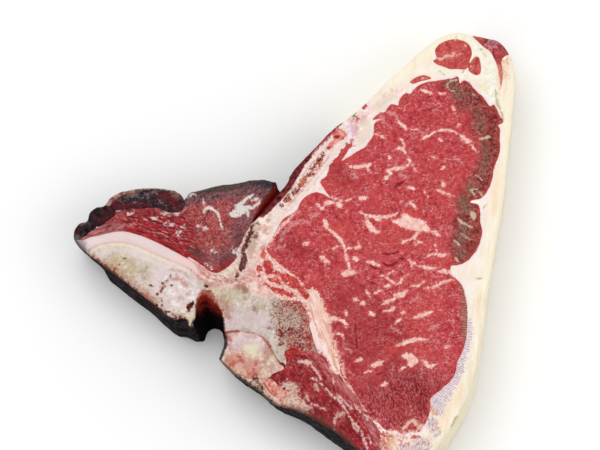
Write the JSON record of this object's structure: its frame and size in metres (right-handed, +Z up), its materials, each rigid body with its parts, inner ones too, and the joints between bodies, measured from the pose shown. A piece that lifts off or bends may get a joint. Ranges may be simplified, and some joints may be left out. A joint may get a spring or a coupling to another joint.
{
  "type": "t-bone steak",
  "caption": "Raw dry-aged t-bone steak lying flat: T-shaped bone between a large strip loin and a small tenderloin, thick fat cap, saw-cut faces, dark dried edges.",
  "frame": {"origin": "centre of the steak's bounding box on the surface it rests on", "axes": "+Z up through the thickness, +X towards the fat cap, +Y towards the tail, the narrow end of the strip loin; the tenderloin is on the -X side"},
  "size_m": [0.1997, 0.207, 0.0311],
  "materials": {
    "cartilage": "smooth, damp, pearly white-pink",
    "bone": "saw-cut, dry, grey-beige with brown spongy pores",
    "facet_bone": "saw-cut, dry, cream with red stains",
    "gristle": "smooth, damp, salmon",
    "lean": "damp raw lean with white marbling and a brown rim",
    "side_lean": "damp raw lean, torn, bright red",
    "seam_fat": "smooth soft fat, peach white",
    "dark_lean": "dry dark red lean with pale streaks",
    "black_crust": "dried black crust, rough",
    "dark_strap": "dried purple-black meat with a pale green-white rim",
    "connective": "smooth pale pink sinew and fat",
    "tenderloin": "dry dark red lean with coarse pale fibres",
    "tail_lean": "damp raw lean",
    "edge_lean": "dried dull red lean",
    "fat": "firm waxy fat, cream to pale yellow"
  },
  "bodies": {
    "root": {"cartilage": "cartilage", "vertebra": "bone", "facet_bone": "facet_bone", "gristle": "gristle", "strip_loin": "lean", "side_muscle": "side_lean", "fat_seam": "seam_fat", "small_back_muscle": "dark_lean", "black_end": "black_crust", "dark_strap": "dark_strap", "crook_tissue": "connective", "tenderloin": "tenderloin", "tail_muscle": "tail_lean", "tail_tip_muscle": "tail_lean", "tail_sliver": "tail_lean", "edge_muscle": "edge_lean", "fat_cap": "fat"}
  },
  "joints": []
}
